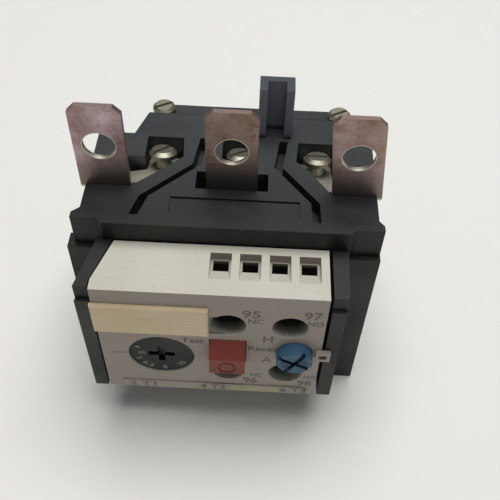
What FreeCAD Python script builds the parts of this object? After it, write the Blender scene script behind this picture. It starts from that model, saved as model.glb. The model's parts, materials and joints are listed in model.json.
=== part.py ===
import FreeCAD, Part
import math
import os
from FreeCAD import Placement, Rotation, Vector

# Three-pole thermal overload relay for mounting under a contactor.
# Millimetres. +Z is up from the underside, -Y is the side with the setting dial.
# The origin lies on the underside, below the deck's screw wells.

os.makedirs("parts", exist_ok=True)
doc = FreeCAD.newDocument("OverloadRelay")

SIZES = {
    # housing
    "BodyWide": 65.7, "BodyFront": 17.8, "BodyRear": 18.0, "FlangeWide": 70.4, "FlangeDeep": 4.1,
    "FrontWall": 19.1, "SkirtHigh": 51.2, "DeckTop": 59.8, "ShoulderWide": 68.6, "ShoulderDeep": 1.5,
    "DeckSideRear": 10.1, "DeckRearWide": 53.0, "DeckEndWide": 49.9, "DeckFrontWide": 54.2,
    "LugTop": 55.0, "LugHalf": 2.6, "LugHigh": 9.0, "EarThick": 2.9, "LugSide": 22.0, "LugOut": 2.95,
    "SeatTop": 55.7, "SeatDeep": 7.2, "LugBore": 1.4, "LugBoreDeep": 6.5,
    "MidShift": 1.0, "MidDrift": 0.12, "CornerRound": 0.8,
    "CavityFloor": 16.0, "CavityTop": 46.5, "WallThick": 3.0, "PhasePitch": 18.3, "BarrierThick": 1.6,
    "PhaseShift": 0.6,
    # screw wells, grooves and hook post on the deck
    "WellFloor": 52.5, "WellHalf": 4.3, "WellRear": 9.2, "WellFront": 2.2, "RibInner": 2.8,
    "RibKnee": 0.4, "FootTop": 55.6, "FootSlope": 18.0, "ScrewDepth": 3.5,
    "SlotSide": 2.6, "SlotRear": 2.0, "WellShift": 0.3,
    "GrooveWide": 2.0, "GrooveDeep": 4.0, "GrooveHalf": 9.5, "GrooveKnee": 19.2, "GrooveEnd": 20.1,
    "GrooveRear": 9.4, "GrooveBend": 0.4, "GrooveTurn": 10.5, "GrooveFront": 16.2,
    "RecessWide": 29.0, "RecessFront": 15.0, "RecessBack": 10.3, "RecessDeep": 0.5,
    "PostWide": 8.1, "PostHigh": 14.2, "PostFront": 10.5, "PostDeep": 5.8, "PostWeb": 2.3,
    "PostSide": 1.9, "PostOffset": 7.1,
    # cheeks beside the front unit
    "CheekInner": 26.1, "CheekOuter": 29.3, "CheekInnerRear": 24.4, "CheekOuterRear": 28.0,
    "CheekStepHigh": 4.5, "CheekStepDeep": 0.8,
    # front unit
    "UnitWide": 51.0, "UnitRearWide": 47.6, "UnitDeep": 13.9, "UnitBottom": 14.3, "UnitTop": 54.4,
    "UnitWall": 1.6, "UnitStraight": 2.7, "UnitGap": 0.3,
    "WindowFirst": -3.7, "WindowPitch": 6.5, "WindowWide": 4.7, "WindowFront": 28.9, "WindowRear": 21.5,
    "FunnelBottom": 47.2, "FunnelNeck": 24.7, "FunnelDeep": 2.4, "FunnelSide": 0.6,
    "AccessRadius": 4.0, "SleeveWall": 0.7, "SleeveDeep": 4.6,
    "ContactLeft": 0.9, "ContactRight": 14.6, "ContactHigh": 43.3, "ContactLow": 24.0,
    "DialX": -14.8, "DialZ": 29.5, "DialRadius": 7.5, "DialGap": 0.25, "DialSink": 0.4, "DialThick": 3.0,
    "DialShaft": 2.0, "DialRecess": 1.2, "CamMean": 4.35, "CamRise": 0.6,
    "CamThick": 1.8, "CamSweep": 165.0, "DialSweep": 135.0,
    "DialFlange": 0.8, "DialFlangeThick": 1.4, "DialSlot": 3.1, "DialSlotHalf": 0.8,
    "TestX": 0.8, "TestWide": 8.2, "TestBottom": 28.1, "TestTop": 37.3, "TestRamp": 3.5, "TestOut": 3.3,
    "TestStem": 1.8, "ButtonGap": 0.2, "ButtonBack": 30.6,
    "ResetX": 16.2, "ResetZ": 33.2, "ResetRadius": 4.2, "ResetOut": 3.0, "ResetStem": 2.2,
    "ResetSpigot": 1.55, "ResetCollar": 3.2, "KnobSlotHalf": 0.55, "KnobSlotDeep": 0.9,
    "LabelWide": 25.6, "LabelHigh": 10.0, "LabelTop": 49.6, "LabelThick": 1.0, "LabelRight": -3.5,
    "EyeLeft": 21.0, "EyeWide": 3.4, "EyeHigh": 3.2, "EyeBottom": 31.8, "EyeThick": 1.1, "EyeFrame": 0.8,
    "StripWide": 44.0, "StripBottom": 14.7, "StripHigh": 2.9, "StripThick": 0.7, "StripSink": 0.4,
    # running and seating clearances
    "RunFit": 0.05, "SeatGap": 0.1,
    # conductors
    "TabPitch": 28.4, "TabShift": 0.0, "TabWide": 11.3, "TabThick": 1.2, "TabTop": 81.8, "TabFace": 7.4,
    "TabHole": 3.6, "TabHoleHigh": 71.1, "TabChamfer": 1.7, "TabBend": 2.4, "TabLean": 6.0,
    "FootHalf": 3.6, "FootEnd": 7.8, "WellScrewLift": 2.7,
    "BlockHalf": 3.5, "LegThick": 1.6, "LegHalf": 3.0, "LegBottom": 39.0,
    "BimetalThick": 1.0, "BimetalBottom": 21.8, "BimetalTop": 46.0,
    "MicaWall": 0.5, "MicaBottom": 26.0, "MicaHigh": 12.0,
    "WindingWall": 0.7, "WindingBottom": 27.0, "WindingPitch": 1.5, "WindingTurns": 6,
    "LoadWide": 8.0, "LoadThick": 1.4, "LoadFace": 6.8, "LoadBottom": 1.6, "LoadRun": 11.9, "LoadRise": 5.6,
    "LoadTop": 36.0, "RiserHalf": 2.2, "LoadHalf": 7.0, "LoadRoof": 12.6, "LoadScrewZ": 6.6,
    # trip mechanism
    "SliderBottom": 17.0, "SliderHigh": 3.5, "SliderHalf": 3.0, "SliderPeg": 5.0, "SliderGap": 0.3,
    "FingerLeft": -23.9, "FingerWide": 0.85, "FingerHigh": 2.2, "FingerEnd": 24.0,
    "MechFront": 24.3, "ChassisFace": 20.8, "ChassisThick": 1.5,
    "LeverX": -21.9, "LeverZ": 29.45, "LeverHalf": 1.0, "LeverLow": 10.05, "LeverHigh": 10.05,
    "PinRadius": 0.8, "PinEnd": 24.8, "LeverThick": 1.8,
    "CarrierBottom": 37.8, "CarrierHigh": 1.8, "CarrierEase": 0.65, "CarrierEaseDeep": 2.0,
    "RailThick": 0.6, "RailDeep": 1.4,
    "LeafThick": 0.35, "LeafRoot": 22.0, "LeafTip": 45.0, "ClosedLeaf": 4.03, "OpenLeaf": 5.6,
    "RivetRadius": 0.9, "RivetTall": 0.7, "TonguePad": 0.75, "TongueNear": 1.65, "TongueThick": 0.7,
    "BlockSide": 3.3, "BlockFront": 26.2, "BlockThick": 1.3, "CompGap": 0.15, "CompZ": 36.2, "CompLow": 24.5,
    "CarrierRear": 21.1, "BridgeFront": 26.4, "BridgeThick": 1.0, "StemEnd": 25.0, "PostHalf": 1.55,
    "BridgeMargin": 3.2, "BridgeZ": 33.8, "BridgeHalf": 4.4, "BridgeFootX": 7.8, "BridgeFootHalf": 2.6,
    "SpringThick": 0.3, "SpringWide": 2.4, "SpringReach": 0.9, "SpringFolds": 4, "PressFit": 0.02,
    # screws: shaft radius, head radius and height, length under the head, slot width
    "WellScrewRadius": 1.9, "WellScrewHead": 3.3, "WellScrewThick": 1.8, "WellScrewLong": 8.0,
    "WellScrewSlot": 1.0, "CoverScrewRadius": 1.3, "CoverScrewHead": 2.8, "CoverScrewThick": 1.9,
    "CoverScrewLong": 5.4, "CoverScrewSlot": 0.8, "LoadScrewRadius": 2.0, "LoadScrewHead": 3.6,
    "LoadScrewThick": 2.4, "LoadScrewLong": 3.6, "LoadScrewSlot": 1.0, "AuxScrewRadius": 1.2,
    "AuxScrewHead": 2.9, "AuxScrewThick": 1.8, "AuxScrewLong": 1.4, "AuxScrewSlot": 0.8,
    # load clamps and rear cover
    "ClampHalf": 4.3, "ClampTall": 4.0, "ClampThick": 1.2, "ClampGap": 0.9, "ClampLip": 0.8,
    "CoverBottom": 2.0, "CoverHigh": 42.0, "CoverThick": 2.4, "CoverEdge": 1.0, "CoverMidHalf": 17.8,
    "CoverMidThick": 3.8, "CoverEarIn": 15.0, "CoverChamfer": 0.6, "CoverKeyHigh": 3.0, "CoverKeyDeep": 2.0,
}


class Names:
    """The spreadsheet's values under their own names."""


G = Names()
sheet = doc.addObject("Spreadsheet::Sheet", "Sizes")
for row, (alias, number) in enumerate(SIZES.items(), 1):
    sheet.set(f"A{row}", alias)
    sheet.set(f"B{row}", str(number))
    sheet.setAlias(f"B{row}", alias)
    setattr(G, alias, number)
doc.recompute()

UNIT_FACE = G.FrontWall + G.UnitDeep          # distance of the front unit's face in front of the origin
PHASES = [G.PhaseShift + k * G.PhasePitch for k in (-1, 0, 1)]
TAN_SLOPE = math.tan(math.radians(G.FootSlope))


def mid(y):
    """Sideways position of the relay's centre line at depth y: the rows are staggered."""
    return G.MidShift + G.MidDrift * y


WELLS = [mid(G.ScrewDepth) + k * G.PhasePitch for k in (-1, 0, 1)]
TABS = [G.TabShift + k * G.TabPitch for k in (-1, 0, 1)]


# ---------------------------------------------------------------- helpers
def new_body(name):
    body = doc.addObject("PartDesign::Body", name)
    body.Label = name
    return body


def sketch(body, role, at, loops):
    """A sketch of closed loops on an origin plane moved by the expression `at` along its normal."""
    plane = next(o for o in body.Origin.OriginFeatures if o.Role == role)
    made = body.newObject("Sketcher::SketchObject", body.Name + "Sketch")
    made.AttachmentSupport = (plane, "")
    made.MapMode = "FlatFace"
    made.setExpression(".AttachmentOffset.Base.z", at)
    for loop in loops:
        if isinstance(loop, tuple):
            x, y, radius = loop
            made.addGeometry(Part.Circle(Vector(x, y, 0), Vector(0, 0, 1), radius), False)
            continue
        corners = [Vector(x, y, 0) for x, y in loop]
        for start, end in zip(corners, corners[1:] + corners[:1]):
            made.addGeometry(Part.LineSegment(start, end), False)
    return made


def pad(body, role, at, length, loops, flip=False, both=False):
    """Adds a prism; it grows along the plane's normal: +Z on XY, -Y on XZ, +X on YZ."""
    profile = sketch(body, role, at, loops)
    made = body.newObject("PartDesign::Pad", body.Name + "Pad")
    made.Profile = profile
    made.setExpression("Length", length)
    made.Reversed = flip
    made.Midplane = both
    return made


def cut(body, role, at, length, loops, flip=False, both=False):
    """Removes a prism; it runs against the plane's normal: -Z on XY, +Y on XZ, -X on YZ."""
    profile = sketch(body, role, at, loops)
    made = body.newObject("PartDesign::Pocket", body.Name + "Pocket")
    made.Profile = profile
    made.setExpression("Length", length)
    made.Reversed = flip
    made.Midplane = both
    return made


def box(x0, x1, y0, y1):
    return [(x0, y0), (x1, y0), (x1, y1), (x0, y1)]


def around(x, half, y0, y1):
    return box(x - half, x + half, y0, y1)


def edges_where(body, test):
    """Names of the body's edges whose two ends both pass the test."""
    doc.recompute()
    found = []
    for number, edge in enumerate(body.Tip.Shape.Edges, 1):
        if edge.Vertexes and all(test(v.Point) for v in edge.Vertexes):
            found.append(f"Edge{number}")
    return found


def dress(body, kind, size, test):
    """Fillets or chamfers the edges that pass the test."""
    names = edges_where(body, test)
    base = body.Tip
    made = body.newObject("PartDesign::" + kind, body.Name + kind)
    made.Base = (base, names)
    made.setExpression("Radius" if kind == "Fillet" else "Size", size)
    body.Tip = made
    return made


def near(value, target):
    return abs(value - target) < 0.02


def group(name, shapes):
    """One node made of separate solids."""
    node = doc.addObject("Part::Feature", name)
    node.Label = name
    node.Shape = Part.makeCompound(shapes)
    return node


def copies(name, master, places):
    """A group node of copies of a master body at the given placements."""
    doc.recompute()
    solids = []
    for place in places:
        solid = master.Shape.copy()
        solid.Placement = place.multiply(solid.Placement)
        solids.append(solid)
    return group(name, solids)


def flat_sided(x, y, radius, across=True):
    """Twelve-sided outline of a hidden hole (across its flats) or shaft (across its corners)."""
    sides = 12
    reach = radius / math.cos(math.pi / sides) if across else radius
    turns = [2 * math.pi * k / sides for k in range(sides)]
    return [(x + reach * math.cos(a), y + reach * math.sin(a)) for a in turns]


def screw_master(kind, rounded):
    """Slotted screw of one kind: head above the origin, shaft below it, slot along X."""
    radius, head, thick, length, slot = (
        getattr(G, kind + size) for size in ("Radius", "Head", "Thick", "Long", "Slot"))
    body = new_body(kind)
    pad(body, "XY_Plane", "0", f"Sizes.{kind}Thick", [(0, 0, head)])
    if rounded:
        dress(body, "Chamfer", f"Sizes.{kind}Head / 4", lambda p: near(p.z, thick))
    pad(body, "XY_Plane", "0", f"Sizes.{kind}Long", [flat_sided(0, 0, radius, across=False)], flip=True)
    cut(body, "XY_Plane", f"Sizes.{kind}Thick", f"Sizes.{kind}Thick / 2",
        [around(0, head + 1, -slot / 2, slot / 2)])
    return body


# ---------------------------------------------------------------- housing
def deck_outline():
    """Plan of the deck: shoulders in front, straight sides, a narrower block behind."""
    half, shoulder = G.BodyWide / 2, G.ShoulderWide / 2
    front, inset = -G.FrontWall, G.DeckFrontWide / 2
    step = -G.BodyFront
    back = mid(G.DeckSideRear)
    end = mid(G.BodyRear)
    lead = mid(-G.FrontWall) + 0.8
    right = [(lead + inset, front), (lead + inset + 1.2, step), (shoulder - 0.3, step),
             (shoulder - 0.3, step + G.ShoulderDeep), (half, step + 2 * G.ShoulderDeep),
             (half, G.DeckSideRear), (back + G.DeckRearWide / 2, G.DeckSideRear),
             (end + G.DeckEndWide / 2, G.BodyRear)]
    left = [(end - G.DeckEndWide / 2, G.BodyRear), (back - G.DeckRearWide / 2, G.DeckSideRear),
            (-half, G.DeckSideRear), (-half, step + 2 * G.ShoulderDeep),
            (-shoulder - 0.3, step + G.ShoulderDeep), (-shoulder - 0.3, step),
            (lead - inset - 1.2, step), (lead - inset, front)]
    return right + left


def well_outline(side):
    """Plan of an outer screw well with the open channel that its tab's foot lies in."""
    screw = WELLS[1 + side] - side * G.WellShift
    inner, outer = screw - side * G.WellHalf, screw + side * G.WellHalf
    tab = G.TabShift + side * G.TabPitch - side * (G.TabWide / 2 + G.SeatGap)
    wall = side * (G.BodyWide / 2 + 2)
    face = -G.TabFace - G.SeatGap
    return [(outer, G.WellRear), (outer, G.WellFront), (wall, G.WellFront), (wall, face),
            (tab, face), (inner + side * (G.RibInner - 0.2), -G.RibKnee),
            (inner - side * 0.5, G.RibInner), (inner, G.WellRear)]


def groove_outline(side):
    """Plan of a phase-barrier groove: straight between the wells, then fanning out to the front."""
    half = G.GrooveWide / 2
    line = [(mid(G.GrooveRear) + side * G.GrooveHalf, G.GrooveRear),
            (mid(G.GrooveBend) + side * G.GrooveHalf, G.GrooveBend),
            (mid(-G.GrooveTurn) + side * G.GrooveKnee, -G.GrooveTurn),
            (mid(-G.GrooveFront) + side * G.GrooveEnd, -G.GrooveFront)]
    there = [(x - half, y) for x, y in line]
    back = [(x + half, y) for x, y in reversed(line)]
    return there + back


def cheek_outline(side):
    front, rear = mid(-UNIT_FACE), mid(-G.FrontWall)
    return [(front + side * G.CheekInner, -UNIT_FACE), (front + side * G.CheekOuter, -UNIT_FACE),
            (rear + side * G.CheekOuterRear, -G.FrontWall), (rear + side * G.CheekInnerRear, -G.FrontWall),
            (front + side * G.CheekInner, -UNIT_FACE + G.UnitStraight)]


def rear_lugs():
    """Centres of the two rear fixing screws."""
    depth = G.BodyRear + G.LugOut
    return [(mid(depth) + side * G.LugSide, depth) for side in (-1, 1)]


def make_housing():
    body = new_body("housing")
    flange = mid(-G.FrontWall) + 0.29
    pad(body, "XY_Plane", "0", "Sizes.SkirtHigh",
        [around(0, G.BodyWide / 2, -G.BodyFront, G.BodyRear)])
    pad(body, "XY_Plane", "0", "Sizes.SkirtHigh",
        [around(flange, G.FlangeWide / 2, -G.FrontWall, -G.FrontWall + G.FlangeDeep)])
    pad(body, "XY_Plane", "Sizes.SkirtHigh", "Sizes.DeckTop - Sizes.SkirtHigh", [deck_outline()])
    for side in (-1, 1):
        pad(body, "XY_Plane", "Sizes.UnitBottom", "Sizes.UnitTop - Sizes.UnitBottom - 0.2",
            [cheek_outline(side)])
        cut(body, "XY_Plane", "Sizes.UnitTop", "Sizes.CheekStepHigh",
            [around(mid(-UNIT_FACE) + side * G.CheekOuter, 6, -UNIT_FACE - 1, -UNIT_FACE + G.CheekStepDeep)])
    for x, y in rear_lugs():
        pad(body, "XY_Plane", "Sizes.LugTop - Sizes.LugHigh", "Sizes.LugHigh",
            [around(x, G.LugHalf, G.BodyRear - 1, y + G.LugHalf)])
        cut(body, "XY_Plane", "Sizes.LugTop", "Sizes.LugBoreDeep", [flat_sided(x, y, G.LugBore)])
    # hook post: a channel open towards the front
    post = mid(G.PostFront) + G.PostOffset
    outer, inner = G.PostWide / 2, G.PostWide / 2 - G.PostSide
    front, web, rear = G.PostFront, G.PostFront + G.PostDeep - G.PostWeb, G.PostFront + G.PostDeep
    pad(body, "XY_Plane", "Sizes.DeckTop", "Sizes.PostHigh", [[
        (post - outer, front), (post - inner, front), (post - inner, web), (post + inner, web),
        (post + inner, front), (post + outer, front), (post + outer, rear), (post - outer, rear)]])
    # wells, their channels and the grooves
    floor = "Sizes.DeckTop - Sizes.WellFloor"
    face = -G.TabFace - G.SeatGap
    slot = G.TabWide / 2 + G.SlotSide
    for side in (-1, 1):
        cut(body, "XY_Plane", "Sizes.DeckTop", floor, [well_outline(side)])
        cut(body, "XY_Plane", "Sizes.DeckTop", "Sizes.GrooveDeep", [groove_outline(side)])
    cut(body, "XY_Plane", "Sizes.DeckTop", floor, [[
        (G.TabShift - slot, face), (G.TabShift + slot, face), (G.TabShift + slot, -G.SlotRear),
        (WELLS[1] + G.WellHalf, -G.SlotRear), (WELLS[1] + G.WellHalf, G.WellRear),
        (WELLS[1] - G.WellHalf, G.WellRear), (WELLS[1] - G.WellHalf, -G.SlotRear),
        (G.TabShift - slot, -G.SlotRear)]])
    cut(body, "XY_Plane", "Sizes.DeckTop", "Sizes.RecessDeep",
        [around(mid(0), G.RecessWide / 2, -G.RecessFront, -G.RecessBack)])
    # phase chambers, open at the rear, with the trip slider's way through the barriers
    chamber = (G.PhasePitch - G.BarrierThick) / 2
    inside = -G.FrontWall + G.WallThick
    cut(body, "XY_Plane", "Sizes.CavityTop", "Sizes.CavityTop - Sizes.CavityFloor",
        [around(x, chamber, inside, G.BodyRear + 1) for x in PHASES])
    cut(body, "XY_Plane", "Sizes.SliderBottom + Sizes.SliderHigh + Sizes.SliderPeg + 1",
        "Sizes.SliderHigh + Sizes.SliderPeg + 1 + Sizes.SeatGap",
        [box(PHASES[0] - chamber, PHASES[2] + chamber, -G.SliderHalf - 0.5, G.SliderHalf + 0.5)])
    # window for the slider's finger in the front wall
    cut(body, "XZ_Plane", "Sizes.FrontWall", "Sizes.WallThick + 1",
        [around(G.FingerLeft + 1.4, 1.9, G.SliderBottom + 0.6, G.SliderBottom + G.SliderHigh + 1.4)])
    # seats for the bimetal brackets
    for well, phase in zip(WELLS, PHASES):
        cut(body, "XY_Plane", "Sizes.SeatTop", "Sizes.SeatDeep",
            [around(well, G.BlockHalf + G.SeatGap, -0.9, G.ScrewDepth + G.BlockHalf + 1.5)])
        left = phase - G.BimetalThick / 2 - G.LegThick
        deep = G.LegHalf + G.SeatGap
        cut(body, "XY_Plane", "Sizes.WellFloor", "Sizes.WellFloor - Sizes.CavityTop + 1",
            [box(left - G.SeatGap, left + G.LegThick + G.SeatGap, -deep, deep)])
    # load terminal chambers, open to the front and below, each with a tunnel for its bar
    for phase in PHASES:
        cut(body, "XY_Plane", "Sizes.LoadRoof", "Sizes.LoadRoof + 1",
            [around(phase, G.LoadHalf, -G.FrontWall - 1, -G.LoadFace + G.LoadThick + G.SeatGap)])
        half = G.LoadWide / 2 + G.SeatGap
        top, low = G.LoadRun + G.SeatGap, G.LoadRun - G.LoadThick - G.SeatGap
        rear, rise = G.LoadRise + G.SeatGap, G.LoadRise - G.LoadThick - G.SeatGap
        cut(body, "YZ_Plane", f"{phase + half}", f"{2 * half}", [[
            (-G.LoadFace, low), (rear, low), (rear, G.CavityFloor + 1), (rise, G.CavityFloor + 1),
            (rise, top), (-G.LoadFace, top)]])
    dress(body, "Fillet", "Sizes.CornerRound",
          lambda p: near(p.z, G.DeckTop + G.PostHigh) and near(p.y, G.PostFront + G.PostDeep))
    return body


def make_back_cover():
    """Plate behind the phase chambers; its middle rises to the deck and carries two wings."""
    body = new_body("back_cover")
    face = G.BodyRear + G.SeatGap
    centre = mid(G.BodyRear + 2)
    pad(body, "XY_Plane", "Sizes.CoverBottom", "Sizes.CoverHigh",
        [around(0, G.BodyWide / 2 - G.CoverEdge, face, face + G.CoverThick)])
    pad(body, "XY_Plane", "Sizes.CoverBottom", "Sizes.DeckTop - Sizes.CoverBottom",
        [around(centre, G.CoverMidHalf, face, face + G.CoverMidThick)])
    for side, (x, y) in zip((-1, 1), rear_lugs()):
        pad(body, "XY_Plane", "Sizes.LugTop + Sizes.SeatGap", "Sizes.EarThick",
            [box(*sorted((x + side * G.LugHalf, centre + side * G.CoverEarIn)), face, y + G.LugHalf)])
        cut(body, "XY_Plane", "Sizes.LugTop + Sizes.EarThick + 1", "Sizes.EarThick + 2", [(x, y, G.LugBore)])
    chamber = (G.PhasePitch - G.BarrierThick) / 2 - G.SeatGap
    for phase in PHASES:
        pad(body, "XY_Plane", "Sizes.CavityFloor + 1", "Sizes.CoverKeyHigh",
            [around(phase, chamber, G.BodyRear - G.CoverKeyDeep, face)])
    dress(body, "Chamfer", "Sizes.CoverChamfer",
          lambda p: near(p.z, G.DeckTop) and near(p.y, face + G.CoverMidThick))
    return body


# ---------------------------------------------------------------- front unit
UNIT_LEFT = mid(-UNIT_FACE) - 0.21 - G.UnitWide / 2
UNIT_RIGHT = UNIT_LEFT + G.UnitWide
CONTACTS = [(G.ContactLeft, G.ContactHigh), (G.ContactRight, G.ContactHigh),
            (G.ContactLeft, G.ContactLow), (G.ContactRight, G.ContactLow)]
INSIDE = UNIT_FACE - G.UnitWall               # distance of the front wall's inner face


def unit_outline(inset, rear):
    """Plan of the front unit: its left side tapers towards the housing, its right side is straight."""
    taper = G.UnitWide - G.UnitRearWide
    left, right, front = UNIT_LEFT + inset, UNIT_RIGHT - inset, -UNIT_FACE + inset
    return [(left, front), (right, front), (right, -rear), (left + taper, -rear),
            (left, -UNIT_FACE + G.UnitStraight)]


def make_front_module():
    body = new_body("front_module")
    back = G.FrontWall + G.UnitGap
    tall = "Sizes.UnitTop - Sizes.UnitBottom"
    pad(body, "XY_Plane", "Sizes.UnitBottom", tall, [unit_outline(0, back)])
    cut(body, "XY_Plane", "Sizes.UnitTop - Sizes.UnitWall", tall + " - 2 * Sizes.UnitWall",
        [unit_outline(G.UnitWall, back - 1)])
    # entry funnels for the auxiliary wires: sloping in front, upright behind
    first, last = G.WindowFirst - 0.7, G.WindowFirst + 3 * G.WindowPitch + G.WindowWide + 0.7
    pad(body, "XY_Plane", "Sizes.FunnelBottom", "Sizes.UnitTop - Sizes.FunnelBottom - 0.5",
        [box(first, last, -G.WindowFront - 0.8, -G.WindowRear + 0.7)])
    floor = G.UnitTop - G.FunnelDeep
    for k in range(4):
        right = G.WindowFirst + k * G.WindowPitch + G.WindowWide
        cut(body, "YZ_Plane", str(right), "Sizes.WindowWide", [[
            (-G.WindowFront, G.UnitTop + 0.1), (-G.FunnelNeck, floor), (-G.WindowRear, floor),
            (-G.WindowRear, G.UnitTop + 0.1)]])
    cut(body, "XY_Plane", "Sizes.UnitTop", "Sizes.UnitTop - Sizes.FunnelBottom + 1", [
        around(G.WindowFirst + k * G.WindowPitch + G.WindowWide / 2, G.WindowWide / 2 - G.FunnelSide,
               -G.FunnelNeck, -G.WindowRear - 0.3) for k in range(4)])
    # sleeves and holes over the auxiliary terminal screws
    wall = G.AccessRadius + G.SleeveWall
    pad(body, "XZ_Plane", f"{INSIDE} + 0.1", "Sizes.SleeveDeep",
        [around(x, wall, z - wall, z + wall) for x, z in CONTACTS], flip=True)
    cut(body, "XZ_Plane", str(UNIT_FACE), "Sizes.SleeveDeep + Sizes.UnitWall + 1",
        [(x, z, G.AccessRadius) for x, z in CONTACTS])
    # shallow flat beside the first hole
    cut(body, "XZ_Plane", str(UNIT_FACE), "0.4",
        [box(G.ContactLeft - 4.3, G.ContactLeft - 1, G.ContactHigh - 3.9, G.ContactHigh + 3.1)])
    # openings for the dial, the test button and the reset knob
    cut(body, "XZ_Plane", str(UNIT_FACE), "Sizes.UnitWall + 1",
        [(G.DialX, G.DialZ, G.DialRadius + G.DialGap)])
    gap = G.ButtonGap
    cut(body, "XZ_Plane", str(UNIT_FACE), "Sizes.UnitWall + Sizes.SleeveDeep",
        [around(G.TestX, G.TestWide / 2 + gap, G.TestBottom - gap, G.TestTop + gap)])
    cut(body, "XZ_Plane", str(UNIT_FACE), "Sizes.UnitWall + 1", [(G.ResetX, G.ResetZ, G.ResetRadius + 0.15)])
    # ledge in which the marking strip sits
    middle, seat = UNIT_LEFT + G.UnitWide / 2, G.SeatGap
    cut(body, "XZ_Plane", str(UNIT_FACE), "Sizes.StripSink",
        [around(middle, G.StripWide / 2 + seat, G.StripBottom - seat, G.StripBottom + G.StripHigh + seat)])
    return body


def make_chassis():
    """Plate closing the front unit at the back; it carries the pins, rails, terminal posts and guides."""
    body = new_body("module_chassis")
    face, rear = G.ChassisFace, G.ChassisFace - G.ChassisThick
    inset = G.UnitWall + G.SeatGap
    taper = G.UnitWide - G.UnitRearWide
    left, right = UNIT_LEFT + taper + inset, UNIT_RIGHT - inset
    low, high = G.UnitBottom + inset, G.UnitTop - inset
    pad(body, "XZ_Plane", str(rear), "Sizes.ChassisThick", [box(left, right, low, high)])
    half = G.PostHalf
    for x, z in CONTACTS:
        pad(body, "XZ_Plane", str(face - 0.2), f"{G.BlockFront - G.BlockThick - face + 0.2}",
            [around(x, half, z - half, z + half)])
    # carrier rails
    rails = [(-19.0, -6.0), (3.0, 12.0)]
    carrier_top = G.CarrierBottom + G.CarrierHigh
    for x0, x1 in rails:
        for z in (G.CarrierBottom - G.SeatGap - G.RailThick, carrier_top + G.SeatGap):
            pad(body, "XZ_Plane", "Sizes.ChassisFace - Sizes.SeatGap", "Sizes.RailDeep + Sizes.SeatGap",
                [box(x0, x1, z, z + G.RailThick)])
    # bridge that guides the two button stems
    foot = G.BridgeFootHalf
    pad(body, "XZ_Plane", str(face - 0.2), f"{G.BridgeFront - face + 0.2}",
        [around(G.BridgeFootX, foot, G.BridgeZ - foot, G.BridgeZ + foot)])
    pad(body, "XZ_Plane", str(G.BridgeFront - G.BridgeThick), "Sizes.BridgeThick",
        [box(G.TestX - G.BridgeMargin, G.ResetX + G.BridgeMargin,
             G.BridgeZ - G.BridgeHalf, G.BridgeZ + G.BridgeHalf)])
    test_x, test_z = stem_place()
    cut(body, "XZ_Plane", str(G.BridgeFront + 1), "Sizes.BridgeThick + 1.5",
        [(test_x, test_z, G.TestStem + G.RunFit), (G.ResetX, G.ResetZ, G.ResetStem + G.RunFit)])
    # bores for the dial shaft and the lever pins, slot for the slider's finger
    cut(body, "XZ_Plane", str(face + 1), "Sizes.ChassisThick + 2",
        [(G.DialX, G.DialZ, G.DialShaft + G.RunFit), (G.LeverX, G.LeverZ, G.PinRadius + G.PressFit),
         (comp_x(), G.CompZ, G.PinRadius + G.PressFit),
         around(G.FingerLeft + 1.4, 1.9, G.SliderBottom + 0.6, G.SliderBottom + G.SliderHigh + 1.4)])
    return body


def stem_place():
    return G.TestX, (G.TestBottom + G.TestTop) / 2


def comp_x():
    """Pivot of the compensation lever: its side rests just off the cam's mean radius."""
    return G.DialX + G.CamMean + G.CompGap + G.LeverHalf


def make_label():
    body = new_body("label_plate")
    pad(body, "XZ_Plane", str(UNIT_FACE), "Sizes.LabelThick",
        [box(G.LabelRight - G.LabelWide, G.LabelRight, G.LabelTop - G.LabelHigh, G.LabelTop)])
    front = -UNIT_FACE - G.LabelThick
    dress(body, "Chamfer", "0.3", lambda p: near(p.y, front))
    return body


def make_strip():
    body = new_body("marking_strip")
    middle = UNIT_LEFT + G.UnitWide / 2
    pad(body, "XZ_Plane", f"{UNIT_FACE - G.StripSink}", "Sizes.StripThick",
        [around(middle, G.StripWide / 2, G.StripBottom, G.StripBottom + G.StripHigh)])
    return body


def make_eye():
    """Small sealing eye: a framed lug at the unit's right edge with a slot through it."""
    body = new_body("seal_eye")
    x0, x1 = G.EyeLeft, G.EyeLeft + G.EyeWide
    z0, z1 = G.EyeBottom, G.EyeBottom + G.EyeHigh
    pad(body, "XZ_Plane", str(UNIT_FACE), "Sizes.EyeThick", [box(x0, x1, z0, z1)])
    frame = G.EyeFrame
    cut(body, "XZ_Plane", f"{UNIT_FACE + G.EyeThick}", "Sizes.EyeFrame",
        [box(x0 + frame, x1 - frame, z0 + frame, z1 - frame)])
    return body


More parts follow.
